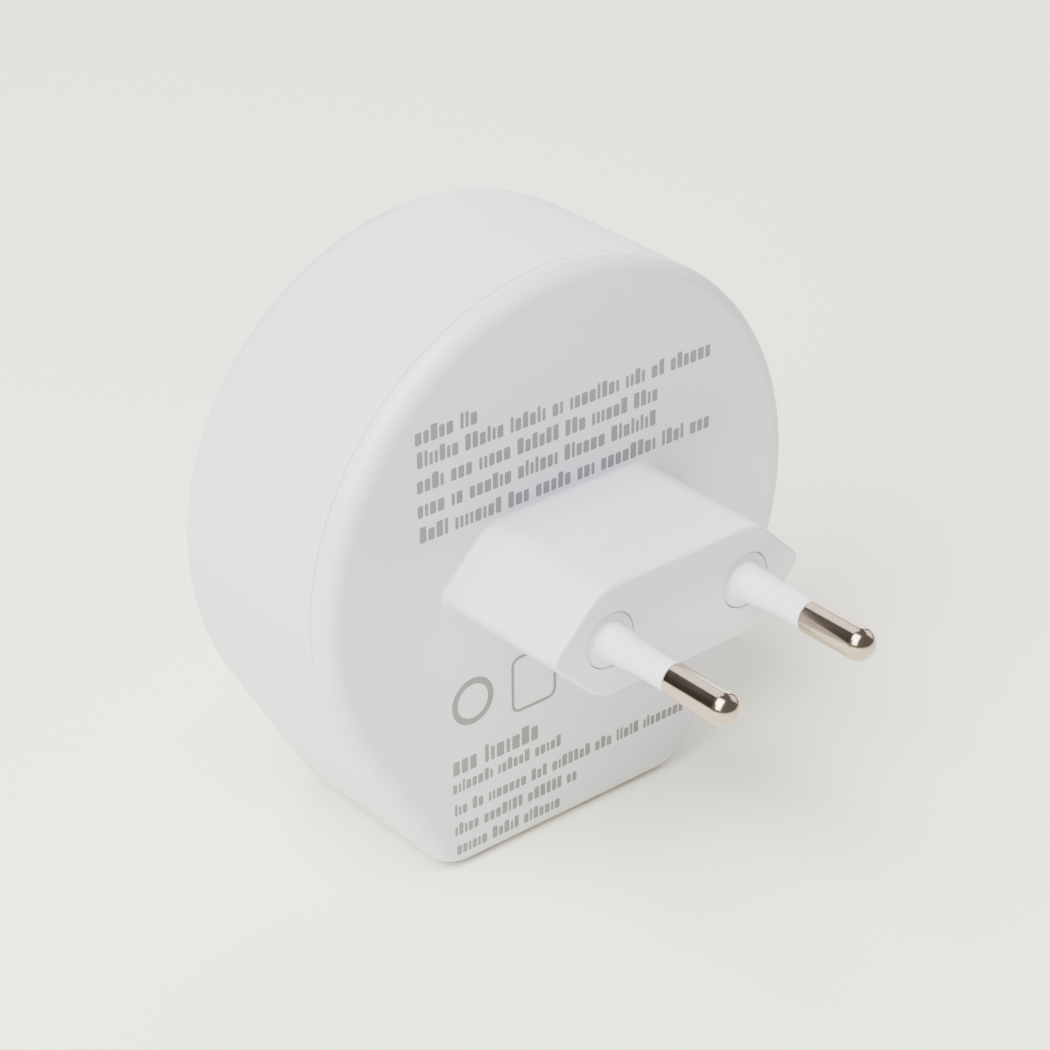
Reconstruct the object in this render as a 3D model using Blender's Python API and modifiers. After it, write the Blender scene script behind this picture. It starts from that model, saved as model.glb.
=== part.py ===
"""A round plug-in USB charger with a night light in its front.

The origin is the middle of the plug block's end face. +Y points out of the pins, into the
wall socket, -Y is the lit front and +Z is up. The body is a circle with tangent sides that
narrow to a flat bottom, where the two USB ports are. The values below are in millimetres,
and MM turns them into Blender's metres.
"""

import math

import bmesh
import bpy
from mathutils import Matrix, Vector

MM = 0.001
GAP = 0.3  # left between pieces that touch
FIT = 0.12  # left round turned pieces that sit in each other

# body outline, seen along Y
BODY_RADIUS = 32.75
FLAT_Z = -35.7  # flat bottom
CORNER_X = 17.45  # where a tangent side would meet the flat bottom
CORNER_RADIUS = 6.0
ARC_STEPS = 66
CORNER_STEPS = 5

# body along Y, from the wall to the room
REAR_Y = -18.0
SEAM_Y = -20.6
FRONT_Y = -45.4
WALL = 1.8
REAR_FILLET = 2.2
FRONT_FILLET = 3.6
FILLET_STEPS = 5
LIP_DEPTH = 2.4
LIP_THICKNESS = 1.1

# plug block
BLOCK_HALF_WIDTH = 17.65
BLOCK_HALF_HEIGHT = 6.65
BLOCK_CHAMFER = 6.65
BLOCK_SIDE_RADIUS = 1.4  # at the point of each side
BLOCK_SHOULDER_RADIUS = 5.0  # where the slopes meet the flat top and underside
BLOCK_DRAFT = 0.25
BLOCK_WALL = 1.9
BLOCK_END_WALL = 3.0

# plug pins, close to the common two-pin standard
PIN_HALF_SPACING = 9.5
PIN_LENGTH = 18.6
PIN_RADIUS = 1.85
PIN_CORE_RADIUS = 1.3  # under the sleeve
PIN_HEAD_RADIUS = 2.4  # the shoulder behind the end wall
PIN_HEAD_THICKNESS = 1.0
PIN_TAIL_RADIUS = 1.3
PIN_TAIL_Y = -8.5
SLEEVE_LENGTH = 9.5
SLEEVE_RADIUS = 1.7
SLEEVE_BASE_RADIUS = 2.2
SLEEVE_THROAT_RADIUS = 2.3  # through the end wall
SLEEVE_TAPER_END = 5.0
FLANGE_RADIUS = 3.2
FLANGE_Y = -0.25  # the flange's face, just under the end of the block
FLANGE_DEPTH = 1.2
PIN_STEPS = 28

# night light
LAMP_Z = 3.5
LAMP_RADIUS = 22.3
DIFFUSER_FLANGE = 1.5
DIFFUSER_WALL = 1.6
DIFFUSER_CROWN = 0.7
SENSOR_Z = -25.5
SENSOR_RADIUS = 2.1
TRAY_Y = -37.0
TRAY_THICKNESS = 1.2
TRAY_RIM_FRONT_Y = -41.8
LAMP_BOARD_HALF_WIDTH = 10.0
LAMP_BOARD_TOP = 14.0
LAMP_BOARD_BOTTOM = -28.0
LAMP_BOARD_THICKNESS = 1.0
LED_OFFSET = 6.0

# power board and what stands on it
BOARD_REAR_Y = -22.6
BOARD_THICKNESS = 1.6
BOARD_INSET = 4.6
BOARD_FRONT_Y = BOARD_REAR_Y - BOARD_THICKNESS
MOUNT_Y = BOARD_FRONT_Y - GAP  # components start here and stand towards -Y
SCREW_X = 19.5
SCREW_Z = 15.5
TRANSFORMER_AT = (3.0, -3.2)
CORE_SIZE = (16.0, 10.0, 5.0)
YOKE = 2.0
CENTRE_LEG = 4.0
USB_A_X = 6.2
USB_A_SIZE = (13.1, 5.7, 14.0)
USB_C_X = -7.2
USB_C_SIZE = (8.94, 3.26, 7.6)
PORT_RECESS = 0.2

# mode switch on the -X side, its knob sliding up and down
SWITCH_TRAVEL = 2.0
SWITCH_Y = MOUNT_Y - 2.2
KNOB_SIZE = (2.7, 2.8, 3.0)
STEM_SIZE = (2.5, 1.8, 1.6)
KNOB_PROUD = 0.8


# ---------------------------------------------------------------- scene and materials

for old in list(bpy.data.objects):
    bpy.data.objects.remove(old, do_unlink=True)

PARTS = bpy.data.collections.new("usb_wall_charger")
CUTTERS = bpy.data.collections.new("cutters")
for group in (PARTS, CUTTERS):
    bpy.context.scene.collection.children.link(group)


def material(name, colour, roughness, metallic=0.0):
    made = bpy.data.materials.new(name)
    made.use_nodes = True
    shader = made.node_tree.nodes["Principled BSDF"]
    shader.inputs["Base Color"].default_value = (*colour, 1.0)
    shader.inputs["Roughness"].default_value = roughness
    shader.inputs["Metallic"].default_value = metallic
    made.diffuse_color = (*colour, 1.0)
    return made


HOUSING_WHITE = material("housing_white", (0.80, 0.79, 0.80), 0.45)
SLEEVE_WHITE = material("sleeve_white", (0.84, 0.84, 0.84), 0.35)
DIFFUSER_OPAL = material("diffuser_opal", (0.92, 0.91, 0.87), 0.3)
TRAY_WHITE = material("tray_white", (0.9, 0.9, 0.88), 0.55)
LENS_SMOKE = material("lens_smoke", (0.10, 0.10, 0.12), 0.15)
NICKEL = material("nickel", (0.66, 0.62, 0.56), 0.18, 1.0)
STEEL = material("steel", (0.60, 0.60, 0.61), 0.3, 1.0)
BOARD_GREEN = material("board_green", (0.03, 0.17, 0.08), 0.45)
BOARD_WHITE = material("board_white", (0.86, 0.86, 0.84), 0.5)
RESIN_BLACK = material("resin_black", (0.03, 0.03, 0.03), 0.5)
CONNECTOR_WHITE = material("connector_white", (0.85, 0.84, 0.80), 0.5)
FERRITE = material("ferrite", (0.09, 0.09, 0.10), 0.7)
TAPE_YELLOW = material("tape_yellow", (0.85, 0.62, 0.10), 0.4)
CAPACITOR_SLEEVE = material("capacitor_sleeve", (0.05, 0.07, 0.16), 0.4)
DISC_BLUE = material("disc_blue", (0.05, 0.20, 0.50), 0.45)
RESISTOR_GREEN = material("resistor_green", (0.25, 0.42, 0.36), 0.5)
COPPER_WIRE = material("copper_wire", (0.62, 0.27, 0.12), 0.35, 1.0)
LED_YELLOW = material("led_yellow", (0.90, 0.78, 0.25), 0.35)
WIRE_BROWN = material("wire_brown", (0.18, 0.08, 0.04), 0.5)
WIRE_BLUE = material("wire_blue", (0.05, 0.15, 0.50), 0.5)
WIRE_RED = material("wire_red", (0.55, 0.04, 0.03), 0.5)
WIRE_BLACK = material("wire_black", (0.03, 0.03, 0.03), 0.5)


# ---------------------------------------------------------------- modelling helpers


def add_object(name, mesh, finish, collection=PARTS):
    obj = bpy.data.objects.new(name, mesh)
    collection.objects.link(obj)
    if finish:
        mesh.materials.append(finish)
    return obj


def from_bmesh(name, bm, finish, collection=PARTS, smooth_angle=35):
    bmesh.ops.recalc_face_normals(bm, faces=bm.faces)
    mesh = bpy.data.meshes.new(name)
    bm.to_mesh(mesh)
    bm.free()
    mesh.shade_smooth()
    mesh.set_sharp_from_angle(angle=math.radians(smooth_angle))
    return add_object(name, mesh, finish, collection)


def as_cutter(obj):
    """Moves a solid made as a part into the cutters, where it only shapes other solids."""
    for group in list(obj.users_collection):
        group.objects.unlink(obj)
    CUTTERS.objects.link(obj)
    obj.hide_render = True
    obj.display_type = "WIRE"
    return obj


def combine(obj, operation, other):
    """Adds a Boolean modifier, so that the order of the calls is the order of the cuts."""
    modifier = obj.modifiers.new(f"{operation.lower()}_{other.name}", "BOOLEAN")
    modifier.operation = operation
    modifier.object = as_cutter(other)
    modifier.solver = "EXACT"


def cut(obj, *cutters):
    for cutter in cutters:
        combine(obj, "DIFFERENCE", cutter)


def join(obj, *others):
    for other in others:
        combine(obj, "UNION", other)


def arc(centre, radius, start, end, steps):
    """Points on an arc from start to end, in degrees."""
    points = []
    for i in range(steps + 1):
        angle = math.radians(start + (end - start) * i / steps)
        x = centre[0] + radius * math.cos(angle)
        points.append((x, centre[1] + radius * math.sin(angle)))
    return points


def rounded_polygon(corners, radii, steps):
    """A convex polygon of (x, z) corners, listed anticlockwise, each rounded to its radius."""
    points = []
    for i, (corner, radius) in enumerate(zip(corners, radii)):
        here = Vector(corner)
        before = (Vector(corners[i - 1]) - here).normalized()
        after = (Vector(corners[(i + 1) % len(corners)]) - here).normalized()
        half = before.angle(after) / 2
        centre = here + (before + after).normalized() * (radius / math.sin(half))
        first = math.degrees(math.atan2(before.x, -before.y))
        sweep = 180 - math.degrees(2 * half)
        points += arc(centre, radius, first, first + sweep, steps)
    return points


def box_outline(width, height, radius, steps=3):
    x, z = width / 2, height / 2
    return rounded_polygon([(-x, -z), (x, -z), (x, z), (-x, z)], [radius] * 4, steps)


def body_outline(inset):
    """The body's outline, anticlockwise from the +X end of the flat bottom."""
    radius = BODY_RADIUS - inset
    side = math.degrees(math.acos(BODY_RADIUS / math.hypot(CORNER_X, FLAT_Z)))
    tangent = math.degrees(math.atan2(FLAT_Z, CORNER_X)) + side
    slope = 90 + tangent  # the side's lean from the horizontal
    half = math.radians(90 - slope / 2)
    corner_radius = CORNER_RADIUS - min(inset, CORNER_RADIUS - 0.5)
    extra = inset - (CORNER_RADIUS - corner_radius)
    reach = CORNER_X - CORNER_RADIUS / math.tan(half) - extra * math.tan(math.radians(slope / 2))
    centre_z = FLAT_Z + CORNER_RADIUS + extra
    right = arc((reach, centre_z), corner_radius, -90, tangent, CORNER_STEPS)
    top = arc((0, 0), radius, tangent, 180 - tangent, ARC_STEPS)
    left = [(-x, z) for x, z in reversed(right)]
    return right + top + left


def prism(name, points, start_y, end_y, finish=None, at=(0, 0), bevels=(), taper=0.0):
    """An (x, z) outline extruded along Y. bevels lists (plane y, radius, steps)."""
    bm = bmesh.new()
    ring = [bm.verts.new(((x + at[0]) * MM, start_y * MM, (z + at[1]) * MM)) for x, z in points]
    face = bm.faces.new(ring)
    moved = bmesh.ops.extrude_face_region(bm, geom=[face])["geom"]
    ends = [v for v in moved if isinstance(v, bmesh.types.BMVert)]
    bmesh.ops.translate(bm, verts=ends, vec=(0, (end_y - start_y) * MM, 0))
    if taper:
        widest = max(abs(x) for x, _ in points)
        scale = Matrix.Scale(1 - taper / widest, 4)
        centre = Vector((at[0] * MM, 0, at[1] * MM))
        for vert in ends:
            flat = scale @ (Vector((vert.co.x, 0, vert.co.z)) - centre) + centre
            vert.co.x, vert.co.z = flat.x, flat.z
    for plane, radius, steps in bevels:
        near = [e for e in bm.edges if all(abs(v.co.y - plane * MM) < 1e-7 for v in e.verts)]
        bmesh.ops.bevel(
            bm, geom=near, offset=radius * MM, segments=steps, profile=0.5, affect="EDGES"
        )
    return from_bmesh(name, bm, finish)


def cylinder(name, at, radius, start_y, end_y, finish=None, steps=24):
    """A round bar along Y, its ends at start_y and end_y."""
    bm = bmesh.new()
    middle = Matrix.Translation((at[0] * MM, (start_y + end_y) / 2 * MM, at[1] * MM))
    bmesh.ops.create_cone(
        bm,
        cap_ends=True,
        segments=steps,
        radius1=radius * MM,
        radius2=radius * MM,
        depth=abs(end_y - start_y) * MM,
        matrix=middle @ Matrix.Rotation(math.radians(-90), 4, "X"),
    )
    return from_bmesh(name, bm, finish)


def box(name, centre, size, finish=None, bevel=0.0, steps=2):
    bm = bmesh.new()
    bmesh.ops.create_cube(bm, size=MM)
    bmesh.ops.scale(bm, vec=size, verts=bm.verts)
    bmesh.ops.translate(bm, vec=Vector(centre) * MM, verts=bm.verts)
    if bevel:
        bmesh.ops.bevel(
            bm, geom=list(bm.edges), offset=bevel * MM, segments=steps, profile=0.5, affect="EDGES"
        )
    return from_bmesh(name, bm, finish)


def turned(name, profile, at, finish, steps=PIN_STEPS, closed=False):
    """Turns a profile of (radius, y) points about a line along Y, from +Y down to -Y."""
    bm = bmesh.new()
    verts = [bm.verts.new((r * MM, 0, y * MM)) for r, y in profile]
    for first, second in zip(verts, verts[1:]):
        bm.edges.new((first, second))
    if closed:
        bm.edges.new((verts[-1], verts[0]))
    mesh = bpy.data.meshes.new(name)
    bm.to_mesh(mesh)
    bm.free()
    obj = add_object(name, mesh, finish)
    obj.location = (at[0] * MM, 0, at[1] * MM)
    obj.rotation_euler = (math.radians(-90), 0, 0)
    screw = obj.modifiers.new("turn", "SCREW")
    screw.axis = "Z"
    screw.steps = steps
    screw.render_steps = steps
    screw.use_merge_vertices = True
    screw.merge_threshold = 1e-6
    screw.use_smooth_shade = True
    return obj


def standing(profile_from_board):
    """Board heights turned into (radius, y), so that the foot is on the board's front."""
    return [(r, MOUNT_Y - h) for r, h in profile_from_board]


def wire(name, route, radius, finish, samples=12):
    """A lead along a smooth curve through the route's points."""
    points = [Vector(p) for p in route]
    padded = [2 * points[0] - points[1]] + points + [2 * points[-1] - points[-2]]
    smooth = []
    for a, b, c, d in zip(padded, padded[1:], padded[2:], padded[3:]):
        for i in range(samples):
            t = i / samples
            smooth.append(
                0.5
                * (
                    2 * b
                    + (c - a) * t
                    + (2 * a - 5 * b + 4 * c - d) * t**2
                    + (3 * b - a - 3 * c + d) * t**3
                )
            )
    smooth.append(points[-1])
    curve = bpy.data.curves.new(name, "CURVE")
    curve.dimensions = "3D"
    curve.bevel_depth = radius * MM
    curve.bevel_resolution = 2
    curve.use_fill_caps = True
    spline = curve.splines.new("POLY")
    spline.points.add(len(smooth) - 1)
    for point, place in zip(spline.points, smooth):
        point.co = (*(place * MM), 1)
    return add_object(name, curve, finish)


# ---------------------------------------------------------------- casing


def hexagon(inset=0.0):
    """The plug block's outline: flat above and below, pointed at each side."""
    width = BLOCK_HALF_WIDTH - inset * math.sqrt(2)
    height = BLOCK_HALF_HEIGHT - inset
    flat = BLOCK_HALF_WIDTH - BLOCK_CHAMFER - inset * math.tan(math.radians(22.5))
    corners = [(-flat, -height), (flat, -height), (width, 0)]
    corners += [(flat, height), (-flat, height), (-width, 0)]
    shoulder = BLOCK_SHOULDER_RADIUS - inset
    side = max(BLOCK_SIDE_RADIUS - inset, 0.4)
    return rounded_polygon(corners, [shoulder, shoulder, side] * 2, 4)


def make_main_housing():
    """The front shell, open to the rear, with the lamp's opening, the ports and the switch slot."""
    shell = prism(
        "main_housing",
        body_outline(0),
        SEAM_Y,
        FRONT_Y,
        HOUSING_WHITE,
        bevels=[(FRONT_Y, FRONT_FILLET, FILLET_STEPS)],
    )
    inside = prism(
        "housing_inside",
        body_outline(WALL),
        SEAM_Y + 1,
        FRONT_Y + WALL,
        bevels=[(FRONT_Y + WALL, FRONT_FILLET - WALL, 3)],
    )
    lamp = cylinder("lamp_opening", (0, LAMP_Z), LAMP_RADIUS, FRONT_Y - 1, FRONT_Y + 3, steps=64)
    sensor = cylinder("sensor_opening", (0, SENSOR_Z), SENSOR_RADIUS, FRONT_Y - 1, FRONT_Y + 3)
    port_z = FLAT_Z + WALL / 2
    usb_a = box(
        "usb_a_opening",
        (USB_A_X, MOUNT_Y - USB_A_SIZE[1] / 2, port_z),
        (USB_A_SIZE[0] + 2 * GAP, USB_A_SIZE[1] + 2 * GAP, 2 * WALL),
    )
    usb_c = port_prism("usb_c_opening", GAP, FLAT_Z - 1, FLAT_Z + WALL + 1)
    switch = box(
        "switch_opening",
        (-BODY_RADIUS, SWITCH_Y, 0),
        (3 * WALL, KNOB_SIZE[1] + 2 * GAP, KNOB_SIZE[2] + 2 * (SWITCH_TRAVEL + GAP)),
    )
    cut(shell, inside, lamp, sensor, usb_a, usb_c, switch)


def port_prism(name, grow, low_z, high_z, finish=None):
    """A solid with the USB-C port's rounded outline, from low_z to high_z."""
    width, height, _ = USB_C_SIZE
    points = box_outline(width + 2 * grow, height + 2 * grow, height / 2 + grow - 0.02, 4)
    obj = prism(name, points, low_z, high_z, finish)
    centre_y = MOUNT_Y - height / 2
    turn = Matrix.Rotation(math.radians(90), 4, "X")
    obj.data.transform(Matrix.Translation((USB_C_X * MM, centre_y * MM, 0)) @ turn)
    return obj


def make_rear_cover():
    """The rear shell with its locating lip, board posts and the hollow plug block."""
    cover = prism(
        "rear_cover",
        body_outline(0),
        SEAM_Y + 0.15,
        REAR_Y,
        HOUSING_WHITE,
        bevels=[(REAR_Y, REAR_FILLET, FILLET_STEPS)],
    )
    inner_y = REAR_Y - WALL
    lip = prism("lip", body_outline(WALL + GAP), SEAM_Y - LIP_DEPTH, inner_y + 0.4)
    lip_inset = WALL + GAP + LIP_THICKNESS
    inside = prism("cover_inside", body_outline(lip_inset), SEAM_Y - 5, inner_y)
    block = prism(
        "plug_block",
        [(x * (1 + BLOCK_DRAFT / BLOCK_HALF_WIDTH), z) for x, z in hexagon()],
        inner_y + 0.6,
        0,
        taper=BLOCK_DRAFT,
        bevels=[(0, 0.45, 3)],
    )
    block_inside = prism("block_inside", hexagon(BLOCK_WALL), inner_y - 1, -BLOCK_END_WALL)
    join(cover, lip, block)
    cut(cover, inside, block_inside)
    for side in (-1, 1):
        at = (side * PIN_HALF_SPACING, 0)
        seat_y, through_y = -FLANGE_DEPTH - FIT, -BLOCK_END_WALL - 1
        throat = SLEEVE_THROAT_RADIUS + FIT
        seat = cylinder(f"flange_seat_{side}", at, FLANGE_RADIUS + FIT, seat_y, 1, steps=PIN_STEPS)
        hole = cylinder(f"pin_hole_{side}", at, throat, through_y, 1, steps=PIN_STEPS)
        cut(cover, seat, hole)
        at = (side * SCREW_X, SCREW_Z)
        join(cover, cylinder(f"post_{side}", at, 3.0, inner_y + 0.5, BOARD_REAR_Y + GAP))
        cut(cover, cylinder(f"pilot_hole_{side}", at, 1.5, inner_y - 0.2, BOARD_REAR_Y - 1, steps=16))


# ---------------------------------------------------------------- plug pins


def make_pins():
    tip = [(PIN_RADIUS * math.sin(math.radians(a)), PIN_LENGTH - PIN_RADIUS
            + PIN_RADIUS * math.cos(math.radians(a))) for a in range(0, 91, 15)]
    tip[0] = (0.0, PIN_LENGTH)
    head_y = -BLOCK_END_WALL - 0.4
    pin = tip + [
        (PIN_RADIUS, SLEEVE_LENGTH + FIT),
        (PIN_CORE_RADIUS, SLEEVE_LENGTH + FIT),
        (PIN_CORE_RADIUS, head_y),
        (PIN_HEAD_RADIUS, head_y),
        (PIN_HEAD_RADIUS, head_y - PIN_HEAD_THICKNESS),
        (PIN_TAIL_RADIUS, head_y - PIN_HEAD_THICKNESS),
        (PIN_TAIL_RADIUS, PIN_TAIL_Y),
        (0.0, PIN_TAIL_Y),
    ]
    sleeve = [
        (SLEEVE_RADIUS, SLEEVE_LENGTH),
        (SLEEVE_RADIUS, SLEEVE_TAPER_END),
        (SLEEVE_BASE_RADIUS - 0.1, FLANGE_Y + 0.5),
        (SLEEVE_BASE_RADIUS + 0.15, FLANGE_Y),
        (FLANGE_RADIUS - 0.15, FLANGE_Y),
        (FLANGE_RADIUS, FLANGE_Y - 0.15),
        (FLANGE_RADIUS, -FLANGE_DEPTH),
        (SLEEVE_THROAT_RADIUS, -FLANGE_DEPTH),
        (SLEEVE_THROAT_RADIUS, -BLOCK_END_WALL),
        (PIN_CORE_RADIUS + FIT, -BLOCK_END_WALL),
        (PIN_CORE_RADIUS + FIT, SLEEVE_LENGTH),
    ]
    for side, word in ((1, "left"), (-1, "right")):
        at = (side * PIN_HALF_SPACING, 0)
        turned(f"plug_pin_{word}", pin, at, NICKEL)
        turned(f"pin_sleeve_{word}", sleeve, at, SLEEVE_WHITE, closed=True)


# ---------------------------------------------------------------- night light


def make_lamp():
    radius = LAMP_RADIUS - GAP
    back = FRONT_Y + WALL + GAP
    dome = [(radius * f, FRONT_Y - DIFFUSER_CROWN * (1 - f * f)) for f in (0, 0.25, 0.5, 0.75, 0.92)]
    inner = radius - DIFFUSER_WALL
    hollow = [(inner * f, FRONT_Y + DIFFUSER_WALL - DIFFUSER_CROWN * (1 - f * f)) for f in (1, 0.5, 0)]
    # the profile runs from the hollow's middle at the rear, round the flange, to the crown
    profile = hollow[::-1] + [
        (inner, back + 1.2),
        (LAMP_RADIUS + DIFFUSER_FLANGE, back + 1.2),
        (LAMP_RADIUS + DIFFUSER_FLANGE, back),
        (radius, back),
        (radius, FRONT_Y + 0.5),
        (radius - 0.5, FRONT_Y),
    ] + dome[::-1]
    turned("lamp_diffuser", profile, (0, LAMP_Z), DIFFUSER_OPAL, steps=64)

    tray = prism("lamp_tray", body_outline(WALL + 0.8), TRAY_Y, TRAY_Y - TRAY_THICKNESS, TRAY_WHITE)
    rim = cylinder("rim", (0, LAMP_Z), 24.7, TRAY_Y - 0.5, TRAY_RIM_FRONT_Y, steps=64)
    bowl = cylinder("bowl", (0, LAMP_Z), 23.5, TRAY_Y - TRAY_THICKNESS, -50, steps=64)
    notch = box(
        "notch",
        (0, TRAY_Y - TRAY_THICKNESS - 5, LAMP_Z - 24),
        (2 * LAMP_BOARD_HALF_WIDTH + 2 * GAP, 10, 12),
    )
    lead_hole = cylinder("lead_hole", (-13.5, -13.5), 2.4, TRAY_Y + 1, TRAY_Y - 4, steps=16)
    join(tray, rim)
    cut(tray, bowl, notch, lead_hole)

    front = TRAY_Y - TRAY_THICKNESS - GAP
    middle = (LAMP_BOARD_TOP + LAMP_BOARD_BOTTOM) / 2
    height = LAMP_BOARD_TOP - LAMP_BOARD_BOTTOM
    points = box_outline(2 * LAMP_BOARD_HALF_WIDTH, height, 2.0)
    prism("lamp_board", points, front, front - LAMP_BOARD_THICKNESS, BOARD_WHITE, at=(0, middle))
    front -= LAMP_BOARD_THICKNESS + GAP
    places = [(x, LAMP_Z + z) for z in (LED_OFFSET, -LED_OFFSET) for x in (-LED_OFFSET, LED_OFFSET)]
    for number, (x, z) in enumerate(places, 1):
        box(f"lamp_led_{number}", (x, front - 0.4, z), (3.5, 0.8, 2.8), LED_YELLOW, 0.1, 1)
    box("light_sensor", (0, front - 0.6, SENSOR_Z), (3.0, 1.2, 2.4), RESIN_BLACK, 0.15, 1)

    lens_back = FRONT_Y + WALL + GAP
    lens = [(0.0, lens_back + 1.0), (3.0, lens_back + 1.0), (3.0, lens_back)]
    lens += [(SENSOR_RADIUS - 0.2, lens_back), (SENSOR_RADIUS - 0.2, FRONT_Y + 0.1)]
    lens += [(1.3, FRONT_Y - 0.2), (0.0, FRONT_Y - 0.35)]
    turned("sensor_lens", lens, (0, SENSOR_Z), LENS_SMOKE, steps=24)


# ---------------------------------------------------------------- power board


def on_board(name, x, z, size, finish, bevel=0.15, lift=0.0):
    """A block of size (x, y, z) standing on the power board."""
    centre = (x, MOUNT_Y - lift - size[1] / 2, z)
    return box(name, centre, size, finish, bevel, 1)


def capacitor(name, at, radius, height):
    groove = radius - 0.35
    heights = [(0.0, 0.0), (radius - 0.4, 0.0), (radius, 0.4), (radius, 1.4), (groove, 1.8)]
    heights += [(radius, 2.2), (radius, height - 0.5), (radius - 0.5, height), (0.0, height)]
    turned(name, standing(heights), at, CAPACITOR_SLEEVE, steps=24)


def make_board():
    board = prism("power_board", body_outline(BOARD_INSET), BOARD_REAR_Y, BOARD_FRONT_Y, BOARD_GREEN)
    for side, word in ((1, "left"), (-1, "right")):
        at = (side * SCREW_X, SCREW_Z)
        hole = cylinder(f"screw_hole_{word}", at, 1.6, BOARD_REAR_Y + 1, BOARD_FRONT_Y - 1, steps=16)
        cut(board, hole)
        screw = [(0.0, REAR_Y - WALL - 0.7), (1.2, REAR_Y - WALL - 1.2), (1.2, MOUNT_Y)]
        screw += [(2.6, MOUNT_Y), (2.6, MOUNT_Y - 1.0), (1.8, MOUNT_Y - 1.7), (0.0, MOUNT_Y - 1.7)]
        turned(f"board_screw_{word}", screw, at, STEEL, steps=20)


def make_mains_side():
    capacitor("input_capacitor_1", (-9.5, 14.0), 4.0, 11.5)
    capacitor("input_capacitor_2", (-0.2, 16.3), 4.0, 11.5)
    on_board("bridge_rectifier", -16.5, 6.0, (8.2, 2.6, 6.4), RESIN_BLACK)
    on_board("controller_ic", -11.0, -4.0, (4.9, 1.6, 3.9), RESIN_BLACK)
    on_board("optocoupler", -10.5, -12.0, (6.5, 3.5, 4.6), RESIN_BLACK)

    fuse = [(0.0, 5.0), (1.2, 5.0), (1.75, 4.4), (1.75, 2.6), (1.5, 2.1), (1.5, -2.1)]
    fuse += [(1.75, -2.6), (1.75, -4.4), (1.2, -5.0), (0.0, -5.0)]
    body = turned("fuse_resistor", fuse, (8.0, 22.6), RESISTOR_GREEN, steps=20)
    body.rotation_euler = (0, math.radians(-90), 0)
    body.location.y = (MOUNT_Y - 2.2) * MM

    disc("varistor", (-8.0, 23.2), 3.5, 3.4)
    disc("y_capacitor", (15.2, 6.4), 3.2, 3.2)
    heights = [(0.0, 0.0), (3.4, 0.0), (3.4, 1.0), (2.9, 1.1), (2.9, 7.4), (3.4, 7.5)]
    heights += [(3.4, 8.5), (0.0, 8.5)]
    turned("filter_inductor", standing(heights), (11.2, 14.3), COPPER_WIRE, steps=24)


def disc(name, at, radius, thickness):
    """A coated disc standing on its rim, thin along Z."""
    edge = thickness / 2
    profile = [(0.0, edge), (radius - 1.0, edge), (radius, 0.25 * edge), (radius, -0.25 * edge)]
    profile += [(radius - 1.0, -edge), (0.0, -edge)]
    body = turned(name, profile, at, DISC_BLUE, steps=24)
    body.rotation_euler = (0, 0, 0)
    body.location.y = (MOUNT_Y - 1.0 - radius) * MM


def make_transformer():
    x, z = TRANSFORMER_AT
    on_board("transformer_bobbin", x, z, (15.0, 1.5, 13.0), RESIN_BLACK)
    lift = 1.5 + GAP
    core = on_board("transformer_core", x, z, CORE_SIZE, FERRITE, lift=lift)
    window = (CORE_SIZE[0] - CENTRE_LEG) / 2 - YOKE
    core_y = MOUNT_Y - lift - CORE_SIZE[1] / 2
    for side in (-1, 1):
        centre = (x + side * (CENTRE_LEG + window) / 2, core_y, z)
        opening = (window, CORE_SIZE[1] - 2 * YOKE, CORE_SIZE[2] + 2)
        cut(core, box(f"core_window_{side}", centre, opening))
    reach = CENTRE_LEG / 2 + window - GAP
    turns = CORE_SIZE[1] - 2 * YOKE - 2 * GAP
    points = box_outline(2 * reach, 13.0, 1.6)
    hole = box_outline(CENTRE_LEG + 2 * GAP, CORE_SIZE[2] + 2 * GAP, 0.3)
    low, high = core_y + turns / 2, core_y - turns / 2
    winding = prism("transformer_winding", points, low, high, TAPE_YELLOW, at=(x, z))
    cut(winding, prism("winding_hole", hole, low + 1, high - 1, at=(x, z)))


def make_output_side():
    on_board("output_rectifier", 16.6, -1.2, (6.0, 2.3, 4.6), RESIN_BLACK)
    capacitor("output_capacitor_1", (16.8, -8.0), 3.15, 8.5)
    capacitor("output_capacitor_2", (16.8, -15.4), 3.15, 8.5)
    on_board("port_control_ic", 2.5, -15.0, (4.0, 1.0, 4.0), RESIN_BLACK, 0.1)
    on_board("lamp_connector", -18.8, -11.5, (4.6, 5.0, 6.0), CONNECTOR_WHITE, 0.3)


def make_ports():
    width, height, depth = USB_A_SIZE
    mouth_z = FLAT_Z + PORT_RECESS
    centre = (USB_A_X, MOUNT_Y - height / 2, mouth_z + depth / 2)
    shell = box("usb_a_shell", centre, USB_A_SIZE, STEEL)
    inside = (width - 0.7, height - 0.7, depth)
    cut(shell, box("usb_a_inside", (centre[0], centre[1], centre[2] - 0.4), inside))
    tongue = (centre[0], centre[1] + 1.0, mouth_z + 0.8 + 6.2)
    box("usb_a_tongue", tongue, (11.4, 1.9, 12.4), CONNECTOR_WHITE, 0.2, 1)

    width, height, depth = USB_C_SIZE
    shell = port_prism("usb_c_shell", 0, mouth_z, mouth_z + depth, STEEL)
    cut(shell, port_prism("usb_c_inside", -0.3, mouth_z - 1, mouth_z + depth - 0.4))
    tongue = (USB_C_X, MOUNT_Y - height / 2, mouth_z + 0.7 + 2.9)
    box("usb_c_tongue", tongue, (6.7, 0.7, 5.8), RESIN_BLACK, 0.15, 1)


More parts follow.
